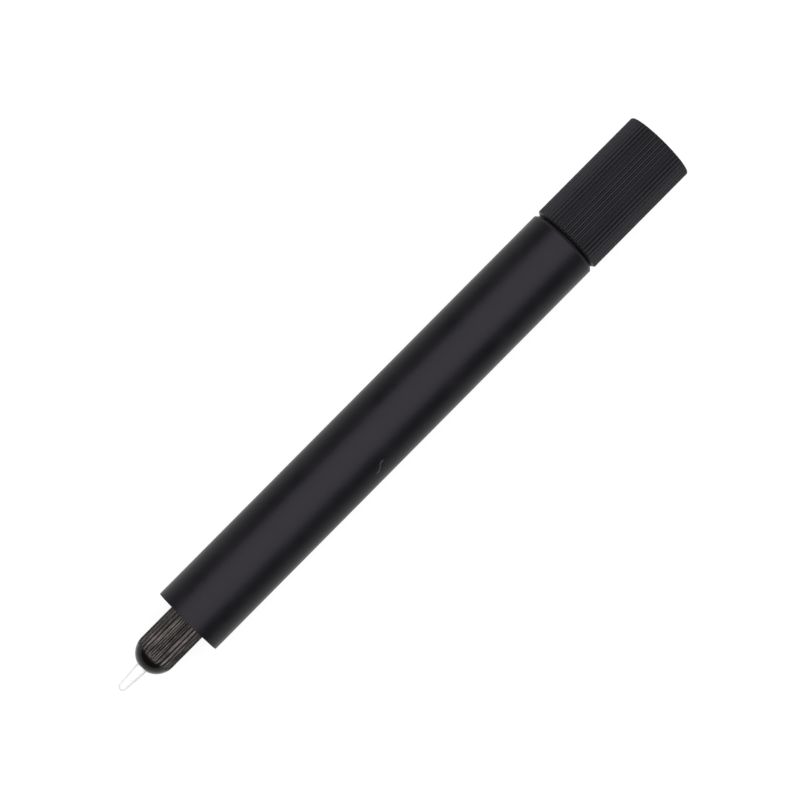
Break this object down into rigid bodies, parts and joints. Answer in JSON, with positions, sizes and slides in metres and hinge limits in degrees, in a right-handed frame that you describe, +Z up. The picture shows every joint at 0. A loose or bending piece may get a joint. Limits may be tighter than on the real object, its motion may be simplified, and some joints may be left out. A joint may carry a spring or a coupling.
{
  "type": "technical pen",
  "caption": "Slim black twist-action technical pen: turning the ribbed knob draws the ribbed nose and needle point back into the plain barrel; a clear cap covers the point.",
  "frame": {"origin": "centre of the pen's box, at the surface that it lies on", "axes": "+X along the pen from the writing point to the knob, +Z up from the surface that it lies on"},
  "size_m": [0.1244, 0.0128, 0.0128],
  "materials": {
    "barrel_black": "satin",
    "knob_black": "satin",
    "nose_gunmetal": "satin",
    "steel": "satin",
    "dark_steel": "satin",
    "bronze": "satin",
    "seal_rubber": "matte",
    "washer_plastic": "matte",
    "clear_plastic": "satin"
  },
  "bodies": {
    "barrel": {"barrel": "barrel_black", "mouth_o_ring": "seal_rubber", "guide_sleeve": "bronze", "key_pin": "steel", "rear_bearing": "bronze", "thrust_washer": "washer_plastic"},
    "knob": {"knob_shell": "knob_black", "drive_sleeve": "dark_steel", "drive_pin_1": "steel", "drive_pin_2": "steel", "retaining_clip": "steel", "knob_o_ring": "seal_rubber"},
    "carrier": {"carrier_tube": "steel", "carrier_o_ring": "seal_rubber", "refill_tube": "steel", "refill_point": "steel", "refill_needle": "steel", "refill_end_plug": "washer_plastic", "spring_plunger": "bronze", "refill_spring": "steel", "spring_backing_screw": "steel"},
    "seal": {"nose_seal": "seal_rubber"},
    "nose": {"nose_cone": "nose_gunmetal"},
    "cap": {"tip_cap": "clear_plastic"}
  },
  "joints": [
    {"name": "knob_turn", "type": "hinge", "parent": "barrel", "child": "knob", "pos_m": [0.0403, 0, 0.0064], "axis": [1, 0, 0], "range_deg": [0, 720]},
    {"name": "carrier_slide", "type": "slide", "parent": "barrel", "child": "carrier", "axis": [1, 0, 0], "range_m": [0, 0.016]},
    {"name": "nose_advance", "type": "slide", "parent": "carrier", "child": "seal", "axis": [-1, 0, 0], "range_m": [0, 0.003]},
    {"name": "nose_unscrew", "type": "hinge", "parent": "seal", "child": "nose", "pos_m": [-0.04675, 0, 0.0064], "axis": [-1, 0, 0], "range_deg": [0, 2160]},
    {"name": "tip_cap_pull", "type": "slide", "parent": "carrier", "child": "cap", "axis": [-1, 0, 0], "range_m": [0, 0.008]}
  ],
  "couplings": [
    {"joint": "knob_turn", "follows": "carrier_slide", "rad_per_m": 785.4},
    {"joint": "nose_unscrew", "follows": "nose_advance", "rad_per_m": 12566}
  ]
}
